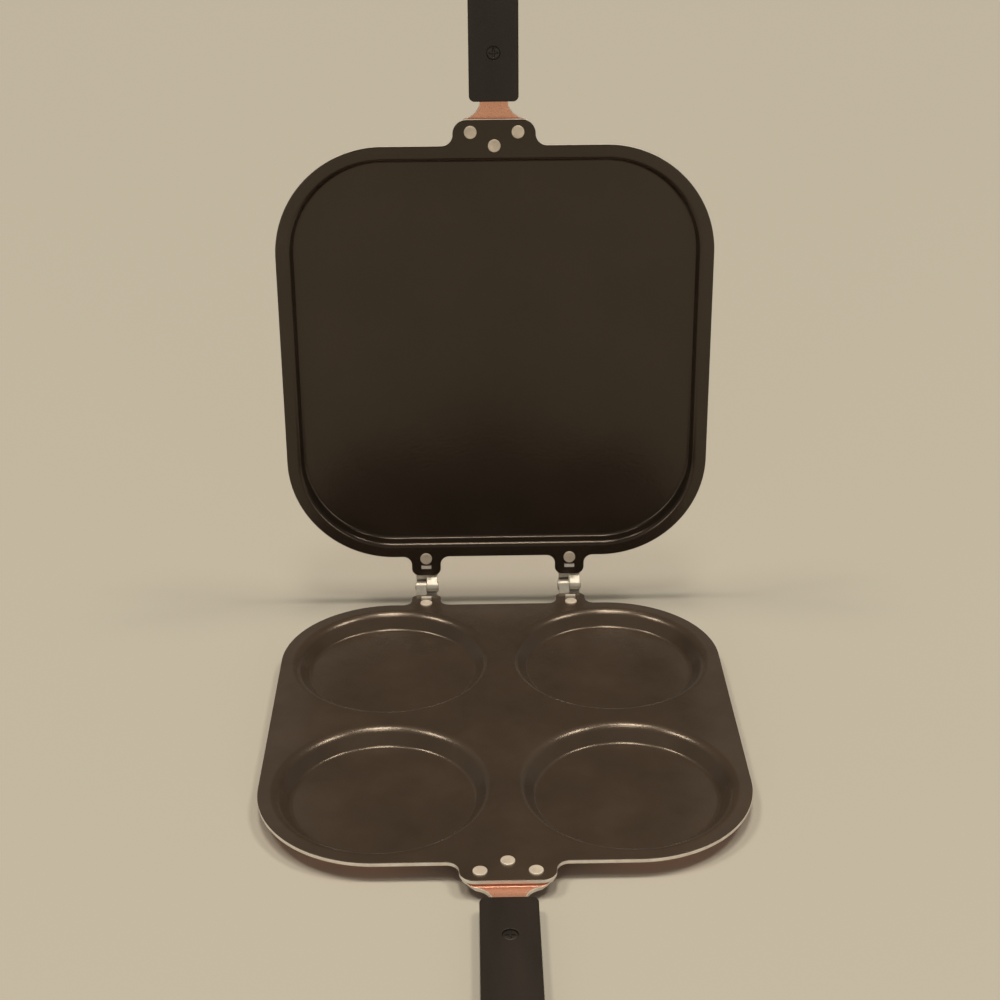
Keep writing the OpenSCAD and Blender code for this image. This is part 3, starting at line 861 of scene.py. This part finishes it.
screw = {
    # The head as (radius, distance below its top).
    "dome": [
        (0, 0), (0.5, 0), (1.0, 0), (1.5, 0), (2.0, 0.02), (2.5, 0.05), (3.0, 0.12),
        (grip["screwHead"], 0.35), (grip["screwHead"], grip["screwThick"]),
    ],
    "recess": 0.6,
    "armHalf": 0.5,
    "armReach": 2.05,
    "shank": 2.0,
    "length": 4.8,
    "tip": 0.2,
}


def makeScrew(half):
    # Pan head screw sunk in the handle's flat face. The cross is the area where one of the
    # two distances from the middle is short and the other still within the arms.
    top = pan["faceZ"] - grip["drop"] - grip["screwSink"]
    angle = np.linspace(0, 2 * math.pi, 96, endpoint=False)
    radius, drop = np.array(screw["dome"]).T[:, :, None]
    x, y = radius * np.cos(angle), radius * np.sin(angle)
    arms, across = np.maximum(abs(x), abs(y)), np.minimum(abs(x), abs(y))
    inside = (across < screw["armHalf"]) & (arms < screw["armReach"])
    z = top - drop - np.where(inside, screw["recess"], 0.0)
    piece = Piece()
    piece.grid(np.stack([x, y - screwS, z], axis=-1))
    low, shank = top - grip["screwThick"], screw["shank"]
    tip = low - screw["length"]
    profile = [(grip["screwHead"], low), (shank, low), (shank, tip + screw["tip"]), (0, tip)]
    piece.lathe(profile, 0, screwS, steps=96)
    piece.finish(half + "HandleScrew", half, half + "_handle_screw", "black_screw", [blackSteel])


makeLowerPan()
makeUpperPan()
print("pans made")

for half in ("lower", "upper"):
    makeRivets(half)
print("rivets made")

for side in ("left", "right"):
    makePin(side)
    for half in ("lower", "upper"):
        makeLeaf(side, half)
print("hinges made")

for half in ("lower", "upper"):
    makeBracket(half)
    makeGrip(half)
    makeScrew(half)
print("handles made")


studio = {
    "floorColour": (0.46, 0.435, 0.375),
    "floorRough": 0.8,
    "floorReach": 30.0,
    "world": (0.50, 0.47, 0.42),
    "worldStrength": 0.36,
    # Strength, then the degrees that a sun leans to the viewer's side and to the right.
    "suns": [(0.85, -3, -26), (1.1, -3, 0), (0.85, -3, 26), (0.4, 13, 0)],
    "sunAngle": 12,         # degrees across
    "sunColour": (1, 0.91, 0.77),
    "lamps": {"frontLeft": (-0.9, -2.0, 0.5), "frontRight": (0.9, -2.0, 0.5)},
    "lampTarget": (0, 0.1, 0.25),
    "lampSize": 0.6,
    "lampPower": 5,
    "lampColour": (1, 0.93, 0.82),
}


def makeFloor():
    # A plain square, flat on the table plane.
    material, _, _, shader = startMaterial("studioFloor")
    shader.inputs["Base Color"].default_value = (*studio["floorColour"], 1)
    shader.inputs["Roughness"].default_value = studio["floorRough"]
    mesh = bpy.data.meshes.new("studioFloor")
    corners = [(-1, -1, 0), (1, -1, 0), (1, 1, 0), (-1, 1, 0)]
    points = np.array(corners) * studio["floorReach"]
    mesh.from_pydata(points.tolist(), [], [(0, 1, 2, 3)])
    mesh.materials.append(material)
    addToScene("studioFloor", mesh)


def makeLights():
    # An even world, a fan of soft suns overhead and two low lamps in front.
    world = bpy.data.worlds.new("studioWorld")
    world.use_nodes = True
    background = world.node_tree.nodes["Background"]
    background.inputs["Color"].default_value = (*studio["world"], 1)
    background.inputs["Strength"].default_value = studio["worldStrength"]
    bpy.context.scene.world = world

    for strength, ahead, aside in studio["suns"]:
        sun = bpy.data.lights.new("overhead", "SUN")
        sun.energy = strength
        sun.angle = math.radians(studio["sunAngle"])
        sun.color = studio["sunColour"]
        holder = addToScene("overhead", sun)
        holder.rotation_euler = (math.radians(ahead), math.radians(aside), 0)

    for name, place in studio["lamps"].items():
        lamp = bpy.data.lights.new(name, "AREA")
        lamp.shape = "DISK"
        lamp.size = studio["lampSize"]
        lamp.energy = studio["lampPower"]
        lamp.color = studio["lampColour"]
        holder = addToScene(name, lamp)
        holder.location = place
        aim = Vector(studio["lampTarget"]) - Vector(place)
        holder.rotation_euler = aim.to_track_quat("-Z", "Y").to_euler()


camera = {
    "eye": (-11.85, -889.29, 486.05),    # mm from the hinge line and the lower cooking face
    "down": 25.71,
    "yaw": -0.86,
    "roll": -0.41,
    "focal": 1714.73,                    # pixels in the 1000 pixel frame
    "frame": 1000,
    "sensor": 36.0,
    "clip": (0.05, 50),
}


def makeCamera():
    # Looks along +Y, turned by yaw about Z and down about its own X, then rolled about its
    # line of sight.
    made = bpy.data.cameras.new("photoCamera")
    made.sensor_width = camera["sensor"]
    made.lens = camera["focal"] / camera["frame"] * camera["sensor"]
    made.clip_start, made.clip_end = camera["clip"]
    yaw, down, roll = (math.radians(camera[k]) for k in ("yaw", "down", "roll"))
    turn = Matrix.Rotation(yaw, 3, "Z") @ Matrix.Rotation(-down, 3, "X")
    right, ahead, up = turn.col[0], turn.col[1], turn.col[2]
    tiltedRight = math.cos(roll) * right + math.sin(roll) * up
    tiltedUp = math.cos(roll) * up - math.sin(roll) * right
    axes = Matrix((tiltedRight, tiltedUp, -ahead)).transposed().to_4x4()
    x, y, z = (v * mm for v in camera["eye"])
    spot = Vector((x, axisPoint.y + y, axisPoint.z + pan["faceZ"] * mm + z))
    holder = addToScene("photoCamera", made)
    holder.matrix_world = Matrix.Translation(spot) @ axes
    bpy.context.scene.camera = holder


makeFloor()
makeLights()
makeCamera()
bpy.context.scene.view_settings.view_transform = "Standard"
print("studio ready")
